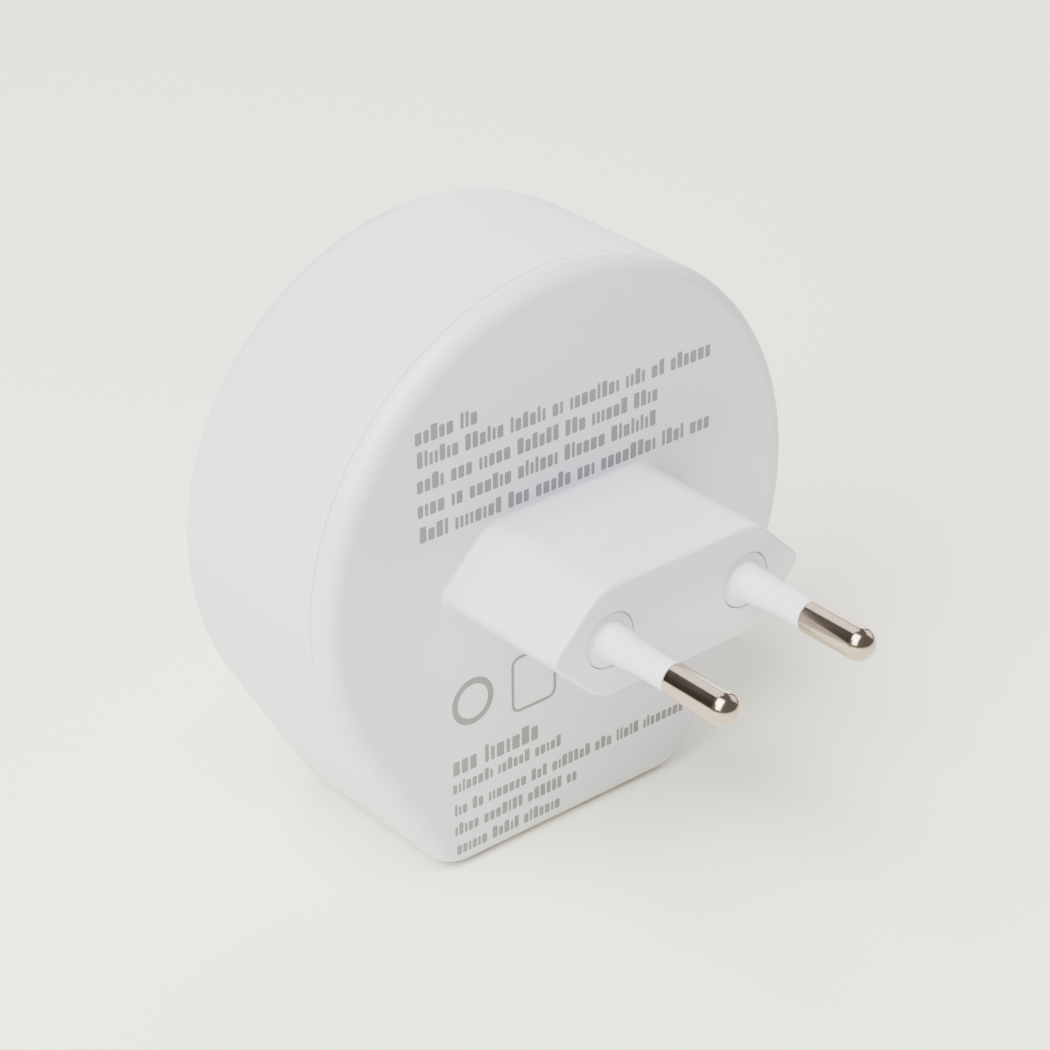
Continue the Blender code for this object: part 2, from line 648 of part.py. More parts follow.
def make_switch():
    """A slide switch whose knob passes through the -X side wall."""
    face_x = -BODY_RADIUS + WALL + 0.55
    slot = STEM_SIZE[2] + 2 * (SWITCH_TRAVEL + GAP)
    body = box(
        "mode_switch_body",
        (face_x + 2.25, SWITCH_Y, 0),
        (4.5, 4.4, 9.4),
        RESIN_BLACK,
        0.2,
        1,
    )
    cut(body, box("stem_slot", (face_x, SWITCH_Y, 0), (5.2, STEM_SIZE[1] + 2 * GAP, slot)))
    knob_x = -BODY_RADIUS - KNOB_PROUD + KNOB_SIZE[0] / 2
    knob = box("mode_switch_knob", (knob_x, SWITCH_Y, 0), KNOB_SIZE, HOUSING_WHITE, 0.3)
    stem_x = knob_x + (KNOB_SIZE[0] + STEM_SIZE[0]) / 2 - 0.4
    join(knob, box("knob_stem", (stem_x, SWITCH_Y, 0), STEM_SIZE))


def make_leads():
    for side, word, finish in ((1, "left", WIRE_BROWN), (-1, "right", WIRE_BLUE)):
        x = side * PIN_HALF_SPACING
        end = BOARD_REAR_Y + GAP
        route = [(x, PIN_TAIL_Y - GAP, 0), (x, -12.0, 0.4), (x - side, -17.0, 1.6)]
        route.append((x - 1.5 * side, end, 2.0))
        wire(f"mains_lead_{word}", route, 0.7, finish, samples=6)
    for shift, word, finish in ((0.0, "red", WIRE_RED), (-1.6, "black", WIRE_BLACK)):
        z = -11.0 + shift
        route = [
            (-18.8, MOUNT_Y - 5.3, z),
            (-17.6, MOUNT_Y - 9.0, z - 0.5),
            (-14.2, TRAY_Y + 0.6, z - 1.5),
            (-13.2, TRAY_Y - 1.4, z - 1.8),
            (-11.2, TRAY_Y - 3.4, z - 1.8),
            (-9.0, TRAY_Y - 3.4, z - 1.8),
        ]
        wire(f"lamp_lead_{word}", route, 0.45, finish, samples=5)


make_main_housing()
make_rear_cover()
make_pins()
make_lamp()
make_board()
make_mains_side()
make_transformer()
make_output_side()
make_ports()
make_switch()
make_leads()
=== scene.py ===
"""Looks for the round plug-in USB charger with a night light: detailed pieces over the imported
frame, procedural materials, a pale floor, soft studio light and the camera. The values below
are in millimetres, and MM turns them into Blender's metres."""

import math
import random

import bmesh
import bpy
from mathutils import Matrix, Vector
from mathutils.geometry import tessellate_polygon


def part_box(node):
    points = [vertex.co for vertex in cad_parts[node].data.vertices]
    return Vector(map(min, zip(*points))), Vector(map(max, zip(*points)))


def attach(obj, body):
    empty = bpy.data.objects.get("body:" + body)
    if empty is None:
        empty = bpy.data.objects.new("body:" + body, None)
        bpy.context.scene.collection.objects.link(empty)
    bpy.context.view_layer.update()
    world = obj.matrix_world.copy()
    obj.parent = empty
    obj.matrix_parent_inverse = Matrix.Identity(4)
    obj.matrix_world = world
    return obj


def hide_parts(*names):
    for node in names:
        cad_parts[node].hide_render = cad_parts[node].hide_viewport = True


MM = 0.001
BODY = "charger"
KNOB = "switch_knob"

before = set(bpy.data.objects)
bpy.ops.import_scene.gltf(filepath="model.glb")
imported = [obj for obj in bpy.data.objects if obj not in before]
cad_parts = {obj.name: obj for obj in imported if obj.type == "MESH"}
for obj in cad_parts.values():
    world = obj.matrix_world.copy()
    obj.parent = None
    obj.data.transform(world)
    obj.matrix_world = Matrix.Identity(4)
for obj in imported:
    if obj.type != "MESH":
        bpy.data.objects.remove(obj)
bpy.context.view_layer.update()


def node_box(node):
    """The CAD node's lowest and highest corner, in millimetres."""
    low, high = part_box(node)
    return Vector(low) / MM, Vector(high) / MM


HOUSING_LOW, HOUSING_HIGH = node_box("main_housing")
COVER_LOW = node_box("rear_cover")[0]

# body outline, seen along Y
BODY_RADIUS = 32.75
FLAT_Z = HOUSING_LOW.z
CORNER_X = 17.45  # where a tangent side would meet the flat bottom
CORNER_RADIUS = 6.0
ARC_STEPS = 168
CORNER_STEPS = 18

# body along Y
REAR_Y = -18.0
SEAM_Y = HOUSING_HIGH.y
SEAM_GAP = 0.08
SEAM_EDGE = 0.08
COVER_EDGE_Y = SEAM_Y + SEAM_GAP
FRONT_Y = HOUSING_LOW.y
WALL = 1.8
REAR_FILLET = 2.2
FRONT_FILLET = 3.6
LIP_INSET = 2.1
LIP_INNER_INSET = 3.2
LIP_END_Y = COVER_LOW.y
EDGE = 0.12  # rounding of the small moulded edges
SUPPORT = 0.06  # a ring this far inside a flat face keeps its shading flat

# plug block
BLOCK_HALF_WIDTH = 17.65
BLOCK_HALF_HEIGHT = 6.65
BLOCK_CHAMFER = 6.65
BLOCK_SIDE_RADIUS = 1.4
BLOCK_SHOULDER_RADIUS = 5.0
BLOCK_DRAFT = 0.014  # share of its size that the block loses from root to end
BLOCK_ROOT_FILLET = 0.5
BLOCK_END_EDGE = 0.42
BLOCK_WALL = 1.9
BLOCK_END_WALL = 3.0

# plug pins
PIN_HALF_SPACING = 9.5
PIN_RADIUS = 1.85
PIN_LENGTH = 18.6
PIN_CORE_RADIUS = 1.3
PIN_HEAD_RADIUS = 2.4
PIN_HEAD_Y = -BLOCK_END_WALL - 0.4
PIN_HEAD_THICKNESS = 1.0
PIN_TAIL_RADIUS = 1.3
PIN_TAIL_Y = -8.5
SLEEVE_LENGTH = 9.5
SLEEVE_RADIUS = 1.7
SLEEVE_BASE_RADIUS = 2.15
SLEEVE_TAPER_END = 5.0
SLEEVE_FILLET = 0.28
FLANGE_RADIUS = 3.2
FLANGE_Y = -0.25  # the flange's face, just under the end of the block
FLANGE_BACK_Y = -1.2
FLANGE_EDGE = 0.16
SEAT_RADIUS = 3.28
SEAT_Y = -1.32
SEAT_EDGE = 0.18
PIN_HOLE_RADIUS = 2.42

# night light
LAMP_Z = 3.5
LAMP_RADIUS = 22.3
DIFFUSER_RADIUS = 22.0
DIFFUSER_CROWN = 0.7
DIFFUSER_FLANGE = 23.8
DIFFUSER_WALL = 1.6
SENSOR_Z = -25.5
SENSOR_RADIUS = 2.1

# ports and switch
USB_A_LOW, USB_A_HIGH = node_box("usb_a_shell")
USB_C_LOW, USB_C_HIGH = node_box("usb_c_shell")
PORT_GAP = 0.3
PORT_EDGE = 0.45
USB_A_WALL = 0.32
USB_C_WALL = 0.28
SPRING_HALF_WIDTH = 0.9
SPRING_THICKNESS = 0.16
KNOB_LOW, KNOB_HIGH = node_box("mode_switch_knob")
SWITCH_Y = (KNOB_LOW.y + KNOB_HIGH.y) / 2
KNOB_CAP_DEPTH = 2.7
KNOB_RIDGE = 0.28
KNOB_END = 0.35  # plain part of the cap beyond the ridges
SLOT_SIZE = (7.6, 3.4)  # along the slide, across it
SLOT_EDGE = 0.3

# ---------------------------------------------------------------- materials


def new_material(name):
    made = bpy.data.materials.new(name)
    made.use_nodes = True
    tree = made.node_tree
    return made, tree, tree.nodes["Principled BSDF"]


def noise(tree, scale, detail=2.0, stretch=None):
    """A noise texture in the object's own coordinates; scale is in cycles per metre."""
    place = tree.nodes.new("ShaderNodeTexCoord").outputs["Object"]
    if stretch:
        mapping = tree.nodes.new("ShaderNodeMapping")
        mapping.inputs["Scale"].default_value = stretch
        tree.links.new(place, mapping.inputs["Vector"])
        place = mapping.outputs["Vector"]
    texture = tree.nodes.new("ShaderNodeTexNoise")
    texture.inputs["Scale"].default_value = scale
    texture.inputs["Detail"].default_value = detail
    tree.links.new(place, texture.inputs["Vector"])
    return texture.outputs["Fac"]


def spread(tree, value, low, high):
    """A noise value moved from its usual range to low..high."""
    ranged = tree.nodes.new("ShaderNodeMapRange")
    ranged.inputs["From Min"].default_value = 0.3
    ranged.inputs["From Max"].default_value = 0.7
    ranged.inputs["To Min"].default_value = low
    ranged.inputs["To Max"].default_value = high
    tree.links.new(value, ranged.inputs["Value"])
    return ranged.outputs["Result"]


def finish(name, colour, roughness, metallic=0.0, mottle=0.02, grain=2500, bump=0.0, vary=0.05,
           stretch=None, subsurface=0.0, coat=0.0):
    """A procedural material: the colour mottled a little, with uneven gloss and a fine grain."""
    made, tree, shader = new_material(name)
    shader.inputs["Metallic"].default_value = metallic
    shader.inputs["Coat Weight"].default_value = coat
    shader.inputs["Subsurface Weight"].default_value = subsurface
    shader.inputs["Subsurface Scale"].default_value = 0.0012
    tone = tree.nodes.new("ShaderNodeMix")
    tone.data_type = "RGBA"
    dark = [c * (1 - mottle) for c in colour]
    light = [min(1.0, c * (1 + mottle)) for c in colour]
    tone.inputs["A"].default_value = (*dark, 1.0)
    tone.inputs["B"].default_value = (*light, 1.0)
    tree.links.new(noise(tree, 90, 3.0), tone.inputs["Factor"])
    tree.links.new(tone.outputs["Result"], shader.inputs["Base Color"])
    fine = noise(tree, grain, 2.0, stretch)
    tree.links.new(spread(tree, fine, roughness - vary, roughness + vary), shader.inputs["Roughness"])
    if bump:
        relief = tree.nodes.new("ShaderNodeBump")
        relief.inputs["Distance"].default_value = bump * MM
        relief.inputs["Strength"].default_value = 1.0
        tree.links.new(fine, relief.inputs["Height"])
        tree.links.new(relief.outputs["Normal"], shader.inputs["Normal"])
    made.diffuse_color = (*colour, 1.0)
    return made


FINISHES = {
    "housing_white": finish("housing_white", (0.64, 0.622, 0.678), 0.34, mottle=0.008, grain=5200,
                            bump=0.004, subsurface=0.06),
    "sleeve_white": finish("sleeve_white", (0.69, 0.677, 0.735), 0.34, mottle=0.006, grain=3000,
                           bump=0.002, subsurface=0.1),
    "diffuser_opal": finish("diffuser_opal", (0.90, 0.89, 0.86), 0.28, mottle=0.01, grain=4000,
                            bump=0.002, subsurface=0.35),
    "lens_smoke": finish("lens_smoke", (0.035, 0.035, 0.045), 0.12, mottle=0.05, coat=0.6, vary=0.03),
    "nickel": finish("nickel", (0.44, 0.35, 0.28), 0.16, 1.0, mottle=0.02, grain=1500, bump=0.0004,
                     vary=0.025, stretch=(1.0, 0.06, 1.0)),
    "steel": finish("steel", (0.58, 0.58, 0.59), 0.28, 1.0, mottle=0.04, grain=1800, bump=0.001,
                    stretch=(1.0, 1.0, 0.08)),
    "tray_white": finish("tray_white", (0.86, 0.86, 0.84), 0.5, bump=0.003),
    "board_green": finish("board_green", (0.02, 0.13, 0.06), 0.38, mottle=0.15, bump=0.003),
    "board_white": finish("board_white", (0.82, 0.82, 0.80), 0.42, bump=0.002),
    "resin_black": finish("resin_black", (0.022, 0.022, 0.024), 0.5, mottle=0.15, bump=0.006),
    "connector_white": finish("connector_white", (0.80, 0.78, 0.72), 0.45, bump=0.003),
    "ferrite": finish("ferrite", (0.06, 0.06, 0.065), 0.62, mottle=0.2, grain=1800, bump=0.012),
    "tape_yellow": finish("tape_yellow", (0.80, 0.52, 0.06), 0.3, mottle=0.05, bump=0.004,
                          stretch=(1.0, 0.1, 1.0)),
    "capacitor_sleeve": finish("capacitor_sleeve", (0.02, 0.03, 0.09), 0.3, mottle=0.1, bump=0.002),
    "disc_blue": finish("disc_blue", (0.03, 0.14, 0.42), 0.4, mottle=0.08, bump=0.012),
    "resistor_green": finish("resistor_green", (0.20, 0.36, 0.30), 0.45, mottle=0.08, bump=0.006),
    "copper_wire": finish("copper_wire", (0.60, 0.24, 0.10), 0.3, 1.0, mottle=0.06, grain=900,
                          bump=0.02, stretch=(0.1, 3.0, 0.1)),
    "led_yellow": finish("led_yellow", (0.88, 0.70, 0.14), 0.3, mottle=0.04, bump=0.002),
    "wire_brown": finish("wire_brown", (0.14, 0.055, 0.025), 0.42, mottle=0.08, bump=0.003),
    "wire_blue": finish("wire_blue", (0.03, 0.10, 0.42), 0.42, mottle=0.08, bump=0.003),
    "wire_red": finish("wire_red", (0.48, 0.025, 0.02), 0.42, mottle=0.08, bump=0.003),
    "wire_black": finish("wire_black", (0.02, 0.02, 0.02), 0.42, mottle=0.1, bump=0.003),
    "gold": finish("gold", (0.83, 0.60, 0.24), 0.22, 1.0, mottle=0.04, grain=2500, bump=0.0008),
    "print_grey": finish("print_grey", (0.17, 0.165, 0.175), 0.5, mottle=0.12, grain=7000, bump=0.001),
}

NODE_SLOTS = {
    "tray_white": ["lamp_tray"],
    "board_white": ["lamp_board"],
    "board_green": ["power_board"],
    "led_yellow": ["lamp_led_1", "lamp_led_2", "lamp_led_3", "lamp_led_4"],
    "resin_black": ["light_sensor", "bridge_rectifier", "controller_ic", "optocoupler",
                    "transformer_bobbin", "output_rectifier", "port_control_ic", "mode_switch_body",
                    "usb_c_tongue"],
    "connector_white": ["lamp_connector", "usb_a_tongue"],
    "ferrite": ["transformer_core"],
    "tape_yellow": ["transformer_winding"],
    "capacitor_sleeve": ["input_capacitor_1", "input_capacitor_2", "output_capacitor_1",
                         "output_capacitor_2"],
    "disc_blue": ["varistor", "y_capacitor"],
    "resistor_green": ["fuse_resistor"],
    "copper_wire": ["filter_inductor"],
    "steel": ["board_screw_left", "board_screw_right", "usb_a_shell", "usb_c_shell"],
    "wire_brown": ["mains_lead_left"],
    "wire_blue": ["mains_lead_right"],
    "wire_red": ["lamp_lead_red"],
    "wire_black": ["lamp_lead_black"],
    "housing_white": ["main_housing", "rear_cover", "mode_switch_knob"],
    "sleeve_white": ["pin_sleeve_left", "pin_sleeve_right"],
    "nickel": ["plug_pin_left", "plug_pin_right"],
    "diffuser_opal": ["lamp_diffuser"],
    "lens_smoke": ["sensor_lens"],
}
for slot_name, slot_nodes in NODE_SLOTS.items():
    for node_name in slot_nodes:
        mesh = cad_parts[node_name].data
        mesh.materials.clear()
        mesh.materials.append(FINISHES[slot_name])

# ---------------------------------------------------------------- surfaces from loops


class Skin:
    """A mesh built from closed loops of (x, y, z) points in millimetres."""

    def __init__(self):
        self.points = []
        self.faces = []

    def loop(self, points):
        first = len(self.points)
        self.points += [Vector(p) for p in points]
        return list(range(first, len(self.points)))

    def join(self, *loops):
        """Quads from each loop to the next; all have the same number of points."""
        for a, b in zip(loops, loops[1:]):
            for i in range(len(a)):
                j = (i + 1) % len(a)
                self.faces.append((a[i], a[j], b[j], b[i]))

    def plate(self, outer, *holes):
        """Fills the flat face inside outer and outside each hole."""
        rings = [[self.points[i] for i in loop] for loop in (outer, *holes)]
        index = [i for loop in (outer, *holes) for i in loop]
        self.faces += [tuple(index[k] for k in t) for t in tessellate_polygon(rings)]

    def fan(self, loop, tip):
        """Triangles from a loop to one point."""
        end = self.loop([tip])[0]
        self.faces += [(a, b, end) for a, b in zip(loop, loop[1:] + loop[:1])]

    def mesh(self, name):
        made = bpy.data.meshes.new(name)
        made.from_pydata([p * MM for p in self.points], [], self.faces)
        bm = bmesh.new()
        bm.from_mesh(made)
        bmesh.ops.recalc_face_normals(bm, faces=bm.faces)
        bm.to_mesh(made)
        bm.free()
        return made


def show(name, mesh, finish_name, body=BODY, replaced=(), sharp=28):
    """The mesh as a piece that rides on a body, smooth but for its sharper edges."""
    obj = bpy.data.objects.new(name, mesh)
    bpy.context.scene.collection.objects.link(obj)
    mesh.materials.clear()
    mesh.materials.append(FINISHES[finish_name])
    mesh.shade_smooth()
    mesh.set_sharp_from_angle(angle=math.radians(sharp))
    weighted = obj.modifiers.new("weighted_normals", "WEIGHTED_NORMAL")
    weighted.keep_sharp = True
    weighted.weight = 80
    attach(obj, body)
    if replaced:
        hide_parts(*replaced)
    return obj


def carved(mesh, cutters):
    """The mesh with each closed cutter mesh taken out of it."""
    obj = bpy.data.objects.new("carving", mesh)
    bpy.context.scene.collection.objects.link(obj)
    helpers = []
    for cutter in cutters:
        helper = bpy.data.objects.new("cutter", cutter)
        bpy.context.scene.collection.objects.link(helper)
        helpers.append(helper)
        modifier = obj.modifiers.new("cut", "BOOLEAN")
        modifier.operation = "DIFFERENCE"
        modifier.object = helper
        modifier.solver = "EXACT"
    bpy.context.view_layer.update()
    graph = bpy.context.evaluated_depsgraph_get()
    result = bpy.data.meshes.new_from_object(obj.evaluated_get(graph))
    for helper in (obj, *helpers):
        bpy.data.objects.remove(helper)
    return result


def arc(centre, radius, start, end, steps):
    """Points on an arc from start to end, in degrees."""
    points = []
    for i in range(steps + 1):
        angle = math.radians(start + (end - start) * i / steps)
        x = centre[0] + radius * math.cos(angle)
        points.append((x, centre[1] + radius * math.sin(angle)))
    return points


def rounded_polygon(corners, radii, steps):
    """A convex polygon of (x, z) corners, listed anticlockwise, each rounded to its radius."""
    points = []
    for i, (corner, radius) in enumerate(zip(corners, radii)):
        here = Vector(corner)
        before = (Vector(corners[i - 1]) - here).normalized()
        after = (Vector(corners[(i + 1) % len(corners)]) - here).normalized()
        half = before.angle(after) / 2
        centre = here + (before + after).normalized() * (radius / math.sin(half))
        first = math.degrees(math.atan2(before.x, -before.y))
        points += arc(centre, radius, first, first + 180 - math.degrees(2 * half), steps)
    return points


def body_outline(inset):
    """The body's outline, anticlockwise from the +X end of the flat bottom's straight part."""
    radius = BODY_RADIUS - inset
    side = math.degrees(math.acos(BODY_RADIUS / math.hypot(CORNER_X, FLAT_Z)))
    tangent = math.degrees(math.atan2(FLAT_Z, CORNER_X)) + side
    slope = 90 + tangent  # the side's lean from the horizontal
    half = math.radians(90 - slope / 2)
    corner_radius = CORNER_RADIUS - min(inset, CORNER_RADIUS - 0.5)
    extra = inset - (CORNER_RADIUS - corner_radius)
    reach = CORNER_X - CORNER_RADIUS / math.tan(half) - extra * math.tan(math.radians(slope / 2))
    centre_z = FLAT_Z + CORNER_RADIUS + extra
    right = arc((reach, centre_z), corner_radius, -90, tangent, CORNER_STEPS)
    top = arc((0, 0), radius, tangent, 180 - tangent, ARC_STEPS)
    return right + top + [(-x, z) for x, z in reversed(right)]


def block_outline(inset, y):
    """The plug block's outline: flat above and below, pointed at each side, and drafted."""
    width = BLOCK_HALF_WIDTH - inset * math.sqrt(2)
    height = BLOCK_HALF_HEIGHT - inset
    flat = BLOCK_HALF_WIDTH - BLOCK_CHAMFER - inset * math.tan(math.radians(22.5))
    corners = [(-flat, -height), (flat, -height), (width, 0)]
    corners += [(flat, height), (-flat, height), (-width, 0)]
    shoulder = BLOCK_SHOULDER_RADIUS - inset
    side = max(BLOCK_SIDE_RADIUS - inset, 0.3)
    grow = 1 + BLOCK_DRAFT * -y / (BLOCK_WALL - REAR_Y)
    points = rounded_polygon(corners, [shoulder, shoulder, side] * 2, 14)
    return [(x * grow, z * (grow - BLOCK_DRAFT)) for x, z in points]


def circle(centre, radius, steps=160):
    return arc(centre, radius, 0, 360 - 360 / steps, steps - 1)


def flat_loop(points, y):
    return [(x, y, z) for x, z in points]


def rounding(radius, steps=6):
    """(how far in, how far down) along a rounded edge, from the face over to the side."""
    turns = [math.radians(90 * i / steps) for i in range(steps + 1)]
    return [(radius * (1 - math.sin(t)), radius * (1 - math.cos(t))) for t in turns]


# ---------------------------------------------------------------- casing


def make_rear_cover():
    skin = Skin()
    rings = [(inset, COVER_EDGE_Y + down) for inset, down in rounding(SEAM_EDGE)]
    rings += [(inset, REAR_Y - down) for inset, down in reversed(rounding(REAR_FILLET, 20))]
    rings.append((REAR_FILLET + SUPPORT, REAR_Y))
    outside = [skin.loop(flat_loop(body_outline(inset), y)) for inset, y in rings]

    root = BLOCK_ROOT_FILLET
    rings = [(-root - SUPPORT, REAR_Y)]
    rings += [(-out, REAR_Y + up) for out, up in rounding(root, 8)]
    rings += [(0, REAR_Y + root + SUPPORT), (0, -BLOCK_END_EDGE - SUPPORT)]
    rings += [(inset, -down) for inset, down in reversed(rounding(BLOCK_END_EDGE, 8))]
    rings.append((BLOCK_END_EDGE + SUPPORT, 0))
    block = [skin.loop(flat_loop(block_outline(inset, y), y)) for inset, y in rings]

    inner_y = REAR_Y - WALL
    hollow = [skin.loop(flat_loop(block_outline(BLOCK_WALL, y), y)) for y in (-BLOCK_END_WALL, inner_y)]
    lip_rings = [(LIP_INNER_INSET, inner_y), (LIP_INNER_INSET, LIP_END_Y)]
    lip_rings += [(LIP_INSET, LIP_END_Y), (LIP_INSET, COVER_EDGE_Y)]
    lip = [skin.loop(flat_loop(body_outline(inset), y)) for inset, y in lip_rings]

    seats, holes = [], []
    for side in (-1, 1):
        at = (side * PIN_HALF_SPACING, 0)
        rings = [(SEAT_RADIUS + SEAT_EDGE + SUPPORT, 0)]
        rings += [(SEAT_RADIUS + out, -down) for out, down in rounding(SEAT_EDGE, 5)]
        rings += [(SEAT_RADIUS, SEAT_Y), (PIN_HOLE_RADIUS, SEAT_Y), (PIN_HOLE_RADIUS, -BLOCK_END_WALL)]
        seat = [skin.loop(flat_loop(circle(at, radius, 96), y)) for radius, y in rings]
        skin.join(*seat)
        seats.append(seat[0])
        holes.append(seat[-1])

    skin.join(*outside)
    skin.plate(outside[-1], block[0])
    skin.join(*block)
    skin.plate(block[-1], *seats)
    skin.plate(hollow[0], *holes)
    skin.join(*hollow)
    skin.plate(lip[0], hollow[-1])
    skin.join(*lip, outside[0])
    show("rear_shell", skin.mesh("rear_shell"), "housing_white", replaced=["rear_cover"])


def lamp_hole(skin, z, radius, edge, steps):
    """Loops from the front face down through a round opening in the front."""
    rings = [(radius + edge + SUPPORT, FRONT_Y)]
    rings += [(radius + out, FRONT_Y + down) for out, down in rounding(edge, 6)]
    rings += [(radius, FRONT_Y + WALL)]
    return [skin.loop(flat_loop(circle((0, z), r, steps), y)) for r, y in rings]


def flare(edge, wall, steps=7):
    """(grow, depth) along a cutter's side: wide outside, rounded over, then straight in."""
    side = [(edge, -0.6)]
    for i in range(1, steps + 1):
        turn = math.radians(90 * i / steps)
        side.append((edge * (1 - math.sin(turn)), edge * (1 - math.cos(turn))))
    return side + [(0.0, wall + 0.6)]


def port_cutter(name, low, high, corner):
    """A cutter for an opening in the flat bottom, round a port between two corners."""
    centre = (low + high) / 2
    size = (high - low) + Vector((2 * PORT_GAP, 2 * PORT_GAP, 0))
    skin = Skin()
    loops = []
    for grow, depth in flare(PORT_EDGE, WALL):
        x, y = size.x / 2 + grow, size.y / 2 + grow
        points = rounded_polygon([(-x, -y), (x, -y), (x, y), (-x, y)], [corner + grow] * 4, 12)
        loops.append(skin.loop([(centre.x + a, centre.y + b, FLAT_Z + depth) for a, b in points]))
    skin.join(*loops)
    skin.plate(loops[0])
    skin.plate(loops[-1])
    return skin.mesh(name)


def switch_cutter():
    """A cutter for the slot in the round wall on -X, following the wall's curve."""
    skin = Skin()
    loops = []
    for grow, depth in flare(SLOT_EDGE, WALL):
        u, v = SLOT_SIZE[0] / 2 + grow, SLOT_SIZE[1] / 2 + grow
        corners = [(-u, -v), (u, -v), (u, v), (-u, v)]
        radius = BODY_RADIUS - depth
        ring = []
        outline = rounded_polygon(corners, [0.5 + grow] * 4, 8)
        for (a, b), (c, d) in zip(outline, outline[1:] + outline[:1]):
            parts = 12 if abs(c - a) > SLOT_SIZE[1] else 1
            ring += [(a + (c - a) * i / parts, b + (d - b) * i / parts) for i in range(parts)]
        loops.append(skin.loop([
            (-radius * math.cos(a / BODY_RADIUS), SWITCH_Y + b, radius * math.sin(a / BODY_RADIUS))
            for a, b in ring
        ]))
    skin.join(*loops)
    skin.plate(loops[0])
    skin.plate(loops[-1])
    return skin.mesh("switch_cutter")


def make_main_housing():
    skin = Skin()
    rings = [(inset, SEAM_Y - down) for inset, down in rounding(SEAM_EDGE)]
    rings += [(0, SEAM_Y - SEAM_EDGE - SUPPORT), (0, FRONT_Y + FRONT_FILLET + SUPPORT)]
    rings += [(inset, FRONT_Y + up) for inset, up in reversed(rounding(FRONT_FILLET, 24))]
    rings.append((FRONT_FILLET + SUPPORT, FRONT_Y))
    outside = [skin.loop(flat_loop(body_outline(inset), y)) for inset, y in rings]

    inner = FRONT_FILLET - WALL
    rings = [(WALL + inset, FRONT_Y + WALL + up) for inset, up in rounding(inner, 6)]
    rings.append((WALL, SEAM_Y))
    inside = [skin.loop(flat_loop(body_outline(inset), y)) for inset, y in rings]

    lamp = lamp_hole(skin, LAMP_Z, LAMP_RADIUS, 0.35, 200)
    sensor = lamp_hole(skin, SENSOR_Z, SENSOR_RADIUS, 0.2, 64)
    skin.join(*outside)
    skin.plate(outside[-1], lamp[0], sensor[0])
    skin.join(*lamp)
    skin.join(*sensor)
    skin.plate(inside[0], lamp[-1], sensor[-1])
    skin.join(*inside, outside[0])
    cutters = [
        port_cutter("usb_a_cutter", USB_A_LOW, USB_A_HIGH, 0.8),
        port_cutter("usb_c_cutter", USB_C_LOW, USB_C_HIGH, (USB_C_HIGH.y - USB_C_LOW.y) / 2 + 0.25),
        switch_cutter(),
    ]
    mesh = carved(skin.mesh("front_shell"), cutters)
    show("front_shell", mesh, "housing_white", replaced=["main_housing"])


# ---------------------------------------------------------------- turned pieces


def turned(name, profile, at, finish_name, replaced, steps=128, closed=False):
    """Turns a profile of (radius, y) points about a line along Y at (x, z)."""
    skin = Skin()
    loops = []
    for radius, y in profile:
        if radius:
            loops.append(skin.loop(flat_loop(circle(at, radius, steps), y)))
    skin.join(*loops)
    if closed:
        skin.join(loops[-1], loops[0])
    else:
        skin.fan(loops[0], (at[0], profile[0][1], at[1]))
        skin.fan(loops[-1], (at[0], profile[-1][1], at[1]))
    return show(name, skin.mesh(name), finish_name, replaced=replaced)


def turn_edge(radius, y, edge, steps=5):
    """(radius, y) points over a rounded outer edge, from the face at y to the side below it."""
    return [(radius - out, y - down) for out, down in rounding(edge, steps)]


